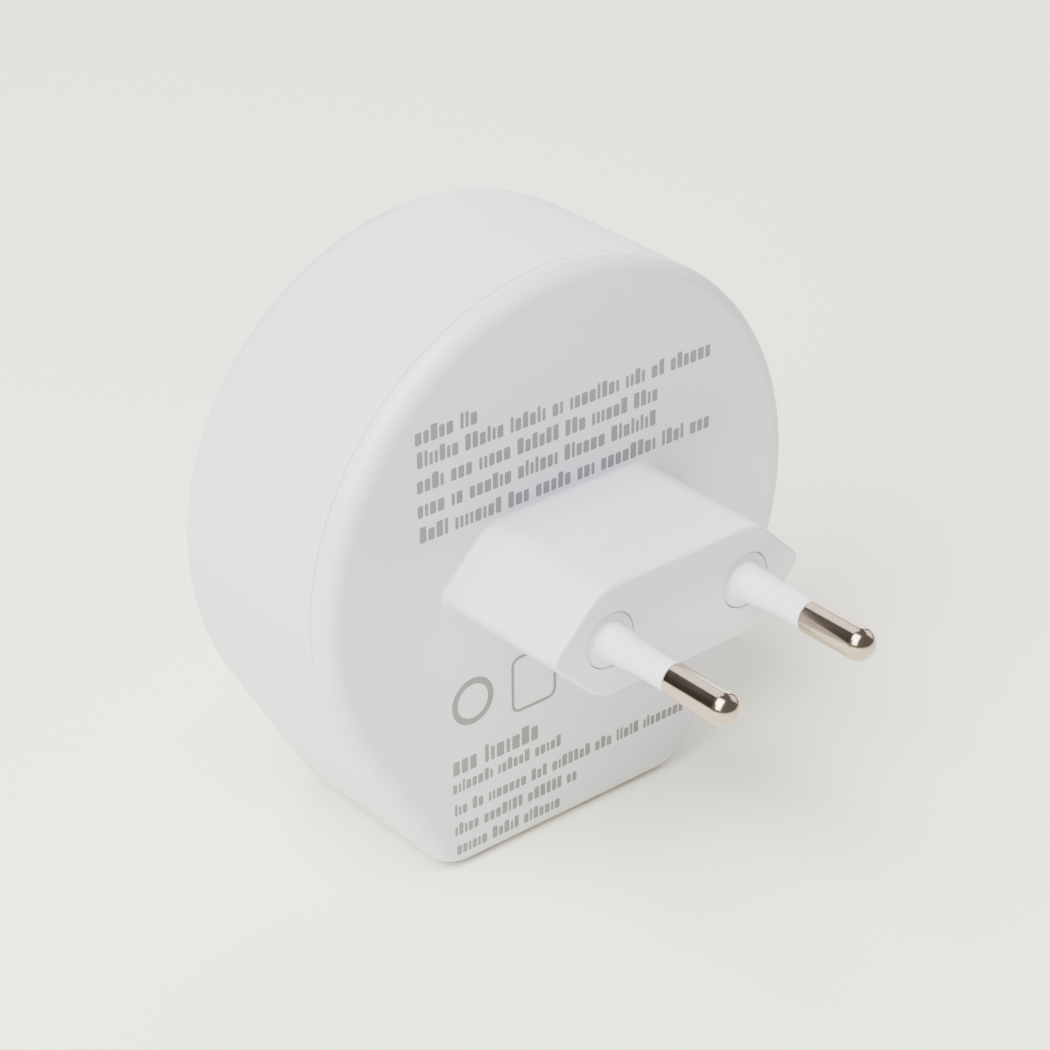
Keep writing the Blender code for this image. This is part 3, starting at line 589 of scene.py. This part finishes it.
def make_pins():
    tip = [(0.0, PIN_LENGTH)]
    for degrees in range(4, 91, 4):
        turn = math.radians(degrees)
        tip.append((PIN_RADIUS * math.sin(turn), PIN_LENGTH - PIN_RADIUS * (1 - math.cos(turn))))
    start = SLEEVE_LENGTH + EDGE
    pin = tip + [
        (PIN_RADIUS, PIN_LENGTH - PIN_RADIUS - SUPPORT),
        (PIN_RADIUS, start + 0.15 + SUPPORT),
        (PIN_RADIUS, start + 0.15),
        (PIN_RADIUS - 0.05, start + 0.04),
        (PIN_RADIUS - 0.15, start),
        (PIN_CORE_RADIUS, start),
        (PIN_CORE_RADIUS, PIN_HEAD_Y),
        (PIN_HEAD_RADIUS, PIN_HEAD_Y),
        (PIN_HEAD_RADIUS, PIN_HEAD_Y - PIN_HEAD_THICKNESS),
        (PIN_TAIL_RADIUS, PIN_HEAD_Y - PIN_HEAD_THICKNESS),
        (PIN_TAIL_RADIUS, PIN_TAIL_Y),
        (0.0, PIN_TAIL_Y),
    ]
    neck = FLANGE_Y + 0.3
    sleeve = turn_edge(SLEEVE_RADIUS, SLEEVE_LENGTH, EDGE)
    sleeve += [
        (SLEEVE_RADIUS, SLEEVE_LENGTH - EDGE - SUPPORT),
        (SLEEVE_RADIUS, SLEEVE_TAPER_END + 0.9),
        (SLEEVE_RADIUS + 0.01, SLEEVE_TAPER_END + 0.3),
        (SLEEVE_RADIUS + 0.04, SLEEVE_TAPER_END - 0.3),
        (SLEEVE_BASE_RADIUS - 0.03, neck + 0.25),
    ]
    for i in range(1, 6):
        turn = math.radians(90 * i / 5)
        reach = SLEEVE_BASE_RADIUS + SLEEVE_FILLET * (1 - math.cos(turn))
        sleeve.append((reach, FLANGE_Y + SLEEVE_FILLET * (1 - math.sin(turn))))
    sleeve += turn_edge(FLANGE_RADIUS, FLANGE_Y, FLANGE_EDGE)
    sleeve += [
        (FLANGE_RADIUS, FLANGE_BACK_Y),
        (PIN_HOLE_RADIUS - EDGE, FLANGE_BACK_Y),
        (PIN_HOLE_RADIUS - EDGE, -BLOCK_END_WALL),
        (PIN_CORE_RADIUS + EDGE, -BLOCK_END_WALL),
        (PIN_CORE_RADIUS + EDGE, SLEEVE_LENGTH),
    ]
    for side, word in ((1, "left"), (-1, "right")):
        at = (side * PIN_HALF_SPACING, 0)
        turned(f"metal_pin_{word}", pin, at, "nickel", [f"plug_pin_{word}"])
        turned(f"insulating_sleeve_{word}", sleeve, at, "sleeve_white", [f"pin_sleeve_{word}"],
               closed=True)


def make_lamp():
    back = FRONT_Y + WALL + PORT_GAP
    crown = []
    for i in range(1, 25):
        share = i / 24 * 0.96
        crown.append((DIFFUSER_RADIUS * share, FRONT_Y - DIFFUSER_CROWN * (1 - share**2)))
    edge = [(DIFFUSER_RADIUS - 0.3, FRONT_Y + 0.05), (DIFFUSER_RADIUS - 0.1, FRONT_Y + 0.16)]
    edge += [(DIFFUSER_RADIUS, FRONT_Y + 0.4), (DIFFUSER_RADIUS, back), (DIFFUSER_FLANGE, back)]
    inner = DIFFUSER_RADIUS - DIFFUSER_WALL
    edge += [(DIFFUSER_FLANGE, back + 1.2), (inner, back + 1.2), (inner, FRONT_Y + DIFFUSER_WALL)]
    middle = FRONT_Y + DIFFUSER_WALL - DIFFUSER_CROWN
    profile = [(0.0, FRONT_Y - DIFFUSER_CROWN)] + crown + edge + [(0.5, middle), (0.0, middle)]
    turned("opal_disc", profile, (0, LAMP_Z), "diffuser_opal", ["lamp_diffuser"], 200)

    radius = SENSOR_RADIUS - 0.2
    dome = [(radius * math.sin(math.radians(a)), FRONT_Y + 0.1 - 0.45 * math.cos(math.radians(a)))
            for a in range(8, 91, 8)]
    lens = [(0.0, FRONT_Y - 0.35)] + dome + [(radius, FRONT_Y + 0.15), (radius, back), (3.0, back)]
    lens += [(3.0, back + 1.0), (0.0, back + 1.0)]
    turned("sensor_window", lens, (0, SENSOR_Z), "lens_smoke", ["sensor_lens"], 64)


# ---------------------------------------------------------------- ports and switch


def port_shell(name, low, high, wall, corner, replaced):
    """A stamped port shell: a rounded tube, open at the bottom, with a rolled mouth."""
    centre = (low + high) / 2
    size = high - low
    skin = Skin()
    loops = []
    mouth = [(0.12, 0.0), (0.03, 0.04), (0.0, 0.12)]
    rings = [(wall, high.z - low.z - wall), (wall, 0.25), (wall - 0.04, 0.06)]
    rings += mouth + [(0.0, size.z)]
    for inset, up in rings:
        x, y = size.x / 2 - inset, size.y / 2 - inset
        radius = max(corner - inset, 0.1)
        points = rounded_polygon([(-x, -y), (x, -y), (x, y), (-x, y)], [radius] * 4, 12)
        loops.append(skin.loop([(centre.x + a, centre.y + b, low.z + up) for a, b in points]))
    skin.join(*loops)
    skin.plate(loops[0])
    skin.plate(loops[-1])
    show(name, skin.mesh(name), "steel", replaced=replaced)


def chamfered_box(skin, low, high, edge, tip=0.0):
    """A box with rounded long edges; tip narrows its lower end in y."""
    centre = (low + high) / 2
    levels = [(low.z, edge, tip), (low.z + edge, 0.0, tip * 0.4)]
    if tip:
        levels.append((low.z + edge + tip, 0.0, 0.0))
    levels += [(high.z - edge, 0.0, 0.0), (high.z, edge, 0.0)]
    loops = []
    for z, inset, narrow in levels:
        x = (high.x - low.x) / 2 - inset
        y = (high.y - low.y) / 2 - inset - narrow
        radius = min(max(edge - inset, 0.04), 0.8 * min(x, y))
        points = rounded_polygon([(-x, -y), (x, -y), (x, y), (-x, y)], [radius] * 4, 4)
        loops.append(skin.loop([(centre.x + a, centre.y + b, z) for a, b in points]))
    skin.join(*loops)
    skin.plate(loops[0])
    skin.plate(loops[-1])


def make_ports():
    port_shell("usb_a_can", USB_A_LOW, USB_A_HIGH, USB_A_WALL, 0.55, ["usb_a_shell"])
    usb_c_corner = (USB_C_HIGH.y - USB_C_LOW.y) / 2 - 0.03
    port_shell("usb_c_can", USB_C_LOW, USB_C_HIGH, USB_C_WALL, usb_c_corner, ["usb_c_shell"])
    for node, finish_name, edge, tip in (("usb_a_tongue", "connector_white", 0.2, 0.35),
                                         ("usb_c_tongue", "resin_black", 0.12, 0.1)):
        low, high = node_box(node)
        skin = Skin()
        chamfered_box(skin, low, high, edge, tip)
        show(f"{node}_moulding", skin.mesh(node), finish_name, replaced=[node])

    low, high = node_box("usb_a_tongue")
    skin = Skin()
    for i in range(4):
        x = (low.x + high.x) / 2 + (i - 1.5) * 2.35
        start = Vector((x - 0.5, low.y - 0.07, low.z + (0.9 if i in (1, 2) else 0.55)))
        chamfered_box(skin, start, Vector((x + 0.5, low.y + 0.1, high.z - 0.4)), 0.05)
    show("usb_a_contacts", skin.mesh("usb_a_contacts"), "gold")

    low, high = node_box("usb_c_tongue")
    skin = Skin()
    for face in (low.y, high.y):
        for i in range(12):
            x = (low.x + high.x) / 2 + (i - 5.5) * 0.5
            start = Vector((x - 0.13, face - 0.03, low.z + 0.35))
            chamfered_box(skin, start, Vector((x + 0.13, face + 0.03, high.z - 0.3)), 0.02)
    show("usb_c_contacts", skin.mesh("usb_c_contacts"), "gold")

    # two springs on each broad side of the USB-A can, bent in to grip a plug
    skin = Skin()
    for face, way in ((USB_A_LOW.y + USB_A_WALL, 1), (USB_A_HIGH.y - USB_A_WALL, -1)):
        for side in (-1, 1):
            x = (USB_A_LOW.x + USB_A_HIGH.x) / 2 + side * 3.1
            loops = []
            for up, out in ((1.2, 0.02), (2.2, 0.22), (3.2, 0.34), (4.2, 0.26), (6.2, 0.02)):
                y = face + way * out
                back = y - way * SPRING_THICKNESS
                z = USB_A_LOW.z + up
                left, right = x - SPRING_HALF_WIDTH, x + SPRING_HALF_WIDTH
                loops.append(skin.loop([(left, y, z), (right, y, z), (right, back, z), (left, back, z)]))
            skin.join(*loops)
            skin.plate(loops[0])
            skin.plate(loops[-1])
    show("usb_a_springs", skin.mesh("usb_a_springs"), "steel")


def make_knob():
    """The switch knob: a rounded cap with four finger ridges, on its stem."""
    low, high = KNOB_LOW, KNOB_HIGH
    cap_inner = low.x + KNOB_CAP_DEPTH
    half_y, half_z = (high.y - low.y) / 2, (high.z - low.z) / 2
    ridges, parts = 4, 8
    last = ridges * parts
    span = 2 * (half_z - KNOB_END)
    face = []
    for i in range(last + 1):
        wave = 0.5 + 0.5 * math.cos(2 * math.pi * i / parts)
        dip = KNOB_RIDGE * wave if 0 < i < last else KNOB_RIDGE
        face.append((low.x + dip, -span / 2 + span * i / last))
    corner = ((0.75, 0.0), (0.45, 0.1), (0.3, 0.25))  # how far in from the face, and from the end
    outline = [(cap_inner, -half_z)]
    outline += [(low.x + deep, -half_z + along) for deep, along in corner]
    outline += face
    outline += [(low.x + deep, half_z - along) for deep, along in reversed(corner)]
    outline.append((cap_inner, half_z))
    skin = Skin()
    loops = []
    sides = ((-half_y, 0.12), (-half_y + 0.04, 0.04), (-half_y + 0.14, 0.0))
    sides += tuple((-y, inset) for y, inset in reversed(sides))
    for y, inset in sides:
        scale_z = 1 - inset / half_z
        loops.append(skin.loop([(x + inset * (cap_inner - x) / KNOB_CAP_DEPTH, SWITCH_Y + y, z * scale_z)
                                for x, z in outline]))
    skin.join(*loops)
    skin.plate(loops[0])
    skin.plate(loops[-1])
    stem_y, stem_z = 0.9, 0.8
    start = Vector((cap_inner - 0.3, SWITCH_Y - stem_y, -stem_z))
    chamfered_box(skin, start, Vector((high.x, SWITCH_Y + stem_y, stem_z)), 0.1)
    show("slide_knob", skin.mesh("slide_knob"), "housing_white", KNOB, ["mode_switch_knob"], sharp=40)


# ---------------------------------------------------------------- plain blocks in place of print

PRINT_LOW_Y = REAR_Y - 0.03
PRINT_HIGH_Y = REAR_Y + 0.012


def make_print():
    """Plain blocks, a ring and a frame where the rear face carries its small print."""
    rng = random.Random(11)
    skin = Skin()

    def block(x_from, x_to, z, height):
        """A block between x_from and x_to, its lower edge at z."""
        left, right = min(x_from, x_to), max(x_from, x_to)
        corners = [(left, z), (right, z), (right, z + height), (left, z + height)]
        points = rounded_polygon(corners, [min(0.18, 0.4 * (right - left))] * 4, 4)
        bottom = skin.loop(flat_loop(points, PRINT_LOW_Y))
        top = skin.loop(flat_loop(points, PRINT_HIGH_Y))
        skin.join(bottom, top)
        skin.plate(bottom)
        skin.plate(top)

    def line(x_from, x_to, z, height):
        """Groups of small upright blocks, a tall one here and there, from x_from down to x_to."""
        x = x_from
        while x > x_to + height:
            for _ in range(rng.randint(2, 8)):
                width = height * rng.choice((0.3, 0.5, 0.55, 0.6))
                if x - width < x_to:
                    break
                block(x, x - width, z, height * rng.choice((1.0, 1.0, 1.3)))
                x -= width + 0.16 * height
            x -= 0.5 * height

    for x_from, x_to, z in ((20.5, 10.6, 19.1), (20.3, -21.4, 16.4), (20.4, -13.1, 13.5),
                            (20.4, -13.4, 10.6), (20.2, -21.8, 7.6)):
        line(x_from, x_to, z, 1.45)
    for x_from, x_to, z in ((16.6, -0.2, -25.3), (16.4, -20.0, -28.3), (16.4, -1.7, -30.9),
                            (16.2, 0.1, -33.5)):
        line(x_from, x_to, z, 1.2)
    line(16.5, 3.5, -23.0, 1.8)
    show("rating_bars", skin.mesh("rating_bars"), "print_grey")

    skin = Skin()
    centre = (13.6, -14.3)
    for inner, outer in (
        (circle(centre, 2.1, 64), circle(centre, 2.9, 64)),
        (rounded_polygon([(2.2, -18.0), (7.8, -18.0), (7.8, -11.6), (2.2, -11.6)], [0.8] * 4, 8),
         rounded_polygon([(1.8, -18.4), (8.2, -18.4), (8.2, -11.2), (1.8, -11.2)], [1.2] * 4, 8)),
    ):
        loops = [
            skin.loop(flat_loop(points, y))
            for points, y in ((inner, PRINT_LOW_Y), (inner, PRINT_HIGH_Y), (outer, PRINT_HIGH_Y),
                              (outer, PRINT_LOW_Y))
        ]
        skin.join(*loops, loops[0])
    show("rating_frames", skin.mesh("rating_frames"), "print_grey")


make_rear_cover()
make_main_housing()
make_pins()
make_lamp()
make_ports()
make_knob()
make_print()

# ---------------------------------------------------------------- studio


FLOOR_RADIUS = 2500
LIGHT_TARGET = (0, -20, 0)
LIGHTS = (  # name, place, side of the square, watts
    ("key", (330, 30, 640), 520, 15.3),
    ("left", (600, 150, 400), 380, 7.6),
    ("front", (-520, -480, 200), 460, 3.0),
    ("back", (-130, -400, 430), 400, 1.5),
    ("right", (-600, 60, 300), 420, 1.4),
)
LIGHT_COLOUR = (0.985, 0.985, 1.0)
WORLD_COLOUR = (0.985, 0.99, 1.0, 1.0)
WORLD_STRENGTH = 0.25
FLAG_Y = -300
CAMERA_AZIMUTH = 140.51
CAMERA_ELEVATION = 29.25
CAMERA_ROLL = -0.5
CAMERA_TARGET = (20.91, 0, 17.84)
CAMERA_DISTANCE = 305.07
CAMERA_LENS = 106.77


def stage_material(name, colour):
    made, tree, shader = new_material(name)
    shader.inputs["Base Color"].default_value = (*colour, 1.0)
    shader.inputs["Roughness"].default_value = 0.9
    shader.inputs["Specular IOR Level"].default_value = 0.1
    return made


def stage_object(mesh, material):
    """A mesh of the set, not of the charger, linked into the scene."""
    mesh.materials.append(material)
    obj = bpy.data.objects.new(mesh.name, mesh)
    bpy.context.scene.collection.objects.link(obj)
    return obj


def make_floor():
    skin = Skin()
    low = FLAT_Z - 0.05  # just clear of the flat bottom
    skin.plate(skin.loop([(x, y, low) for x, y in circle((0, 0), FLOOR_RADIUS, 96)]))
    stage_object(skin.mesh("floor"), stage_material("floor_pale", (0.97, 0.965, 0.80)))


def make_backdrop():
    """A pale sweep that fades in away from the charger, rises and hides the floor's far edge."""
    made, tree, shader = new_material("backdrop_pale")
    place = tree.nodes.new("ShaderNodeTexCoord").outputs["Object"]
    reach = tree.nodes.new("ShaderNodeVectorMath")
    reach.operation = "LENGTH"
    tree.links.new(place, reach.inputs[0])
    fade = tree.nodes.new("ShaderNodeMapRange")
    fade.inputs["From Min"].default_value = 0.6
    fade.inputs["From Max"].default_value = 1.3
    tree.links.new(reach.outputs["Value"], fade.inputs["Value"])
    clear = tree.nodes.new("ShaderNodeBsdfTransparent")
    glow = tree.nodes.new("ShaderNodeEmission")
    glow.inputs["Color"].default_value = (1.0, 0.995, 0.92, 1.0)
    glow.inputs["Strength"].default_value = 2.85
    blend = tree.nodes.new("ShaderNodeMixShader")
    tree.links.new(fade.outputs["Result"], blend.inputs["Fac"])
    tree.links.new(clear.outputs["BSDF"], blend.inputs[1])
    tree.links.new(glow.outputs["Emission"], blend.inputs[2])
    tree.links.new(blend.outputs["Shader"], tree.nodes["Material Output"].inputs["Surface"])
    tree.nodes.remove(shader)
    made.cycles.emission_sampling = "NONE"
    skin = Skin()
    rings = ((600, 0.5), (1500, 0.5), (2200, 0.5), (2400, 100), (2480, 500), (2480, 2600))
    loops = [skin.loop([(x, y, FLAT_Z + up) for x, y in circle((0, 0), radius, 96)])
             for radius, up in rings]
    skin.join(*loops)
    skin.plate(loops[-1])
    backdrop = stage_object(skin.mesh("backdrop"), made)
    backdrop.visible_diffuse = False
    backdrop.visible_glossy = False
    backdrop.visible_shadow = False


def make_flag():
    """A black card beyond the lit front, which gives the plated pins their dark reflection."""
    skin = Skin()
    corners = [(85, -18), (500, -18), (500, 440), (85, 440)]
    skin.plate(skin.loop(flat_loop(corners, FLAG_Y)))
    flag = stage_object(skin.mesh("flag"), stage_material("flag_black", (0.01, 0.01, 0.01)))
    flag.visible_camera = False
    flag.visible_diffuse = False
    flag.visible_shadow = False


def make_lights():
    world = bpy.data.worlds.new("studio")
    world.use_nodes = True
    bpy.context.scene.world = world
    background = world.node_tree.nodes["Background"]
    background.inputs["Color"].default_value = WORLD_COLOUR
    background.inputs["Strength"].default_value = WORLD_STRENGTH
    for name, place, size, power in LIGHTS:
        data = bpy.data.lights.new(name, "AREA")
        data.shape = "SQUARE"
        data.size = size * MM
        data.energy = power
        data.color = LIGHT_COLOUR
        light = bpy.data.objects.new(name, data)
        light.location = Vector(place) * MM
        aim = Vector(LIGHT_TARGET) - Vector(place)
        light.rotation_euler = aim.to_track_quat("-Z", "Y").to_euler()
        light.visible_camera = False
        bpy.context.scene.collection.objects.link(light)


def make_camera():
    azimuth, elevation = math.radians(CAMERA_AZIMUTH), math.radians(CAMERA_ELEVATION)
    roll = math.radians(CAMERA_ROLL)
    back = Vector((
        math.sin(azimuth) * math.cos(elevation),
        -math.cos(azimuth) * math.cos(elevation),
        math.sin(elevation),
    ))
    level = Vector((0, 0, 1)).cross(back).normalized()
    upright = back.cross(level)
    right = math.cos(roll) * level + math.sin(roll) * upright
    up = back.cross(right)
    place = Vector(CAMERA_TARGET) + back * CAMERA_DISTANCE
    data = bpy.data.cameras.new("camera")
    data.sensor_width = 36.0
    data.lens = CAMERA_LENS
    data.clip_start = 0.01
    data.clip_end = 10.0
    camera = bpy.data.objects.new("camera", data)
    turn = Matrix((right, up, back)).transposed().to_4x4()
    camera.matrix_world = Matrix.Translation(place * MM) @ turn
    bpy.context.scene.collection.objects.link(camera)
    bpy.context.scene.camera = camera


make_floor()
make_backdrop()
make_flag()
make_lights()
make_camera()
